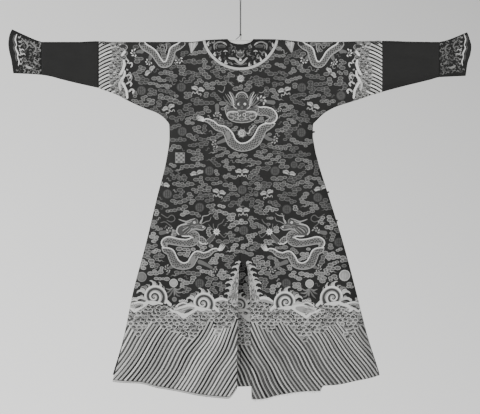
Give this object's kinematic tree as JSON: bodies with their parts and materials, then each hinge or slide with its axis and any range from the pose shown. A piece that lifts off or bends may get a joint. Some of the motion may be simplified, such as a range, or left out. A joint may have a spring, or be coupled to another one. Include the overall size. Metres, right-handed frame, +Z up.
{
  "type": "chinese dragon robe on a hanging rod",
  "caption": "Full-length silk robe with horse-hoof cuffs, curved overlap, round collar and centre vents, spread flat on a padded rod that hangs from a loop of cord.",
  "frame": {"origin": "inner top of the cord's loop, where a nail holds it", "axes": "+Z up, +X to the wearer's right along the rod, the robe's back faces -Y and its front +Y"},
  "size_m": [2.0118, 0.085, 1.7614],
  "materials": {
    "patterned_silk": "unlined tapestry-woven silk with a dense pattern",
    "plain_dark_silk": "plain dark silk with a faint sheen",
    "facing_silk": "patterned dark silk",
    "pale_edging": "pale woven edging",
    "cord_button": "knotted silk cord",
    "painted_rod": "pale matt paint",
    "cotton_pad": "white cotton",
    "hanging_cord": "thin dark cord"
  },
  "bodies": {
    "root": {"left_width": "patterned_silk", "right_width": "patterned_silk", "overlap": "patterned_silk", "inner_flap": "patterned_silk", "sleeve_left": "plain_dark_silk", "sleeve_right": "plain_dark_silk", "cuff_left": "facing_silk", "cuff_right": "facing_silk", "collar_back": "facing_silk", "collar_front_left": "facing_silk", "collar_front_right": "facing_silk", "collar_lapel": "facing_silk", "edging_back": "pale_edging", "edging_front_left": "pale_edging", "edging_front_right": "pale_edging", "edging_lapel": "pale_edging", "button_neck": "cord_button", "loop_neck": "cord_button", "button_chest": "cord_button", "loop_chest": "cord_button", "button_underarm": "cord_button", "loop_underarm": "cord_button", "button_side_upper": "cord_button", "loop_side_upper": "cord_button", "button_side_lower": "cord_button", "loop_side_lower": "cord_button", "rod": "painted_rod", "rod_pad": "cotton_pad", "hanging_cord": "hanging_cord", "knot": "hanging_cord"}
  },
  "joints": []
}
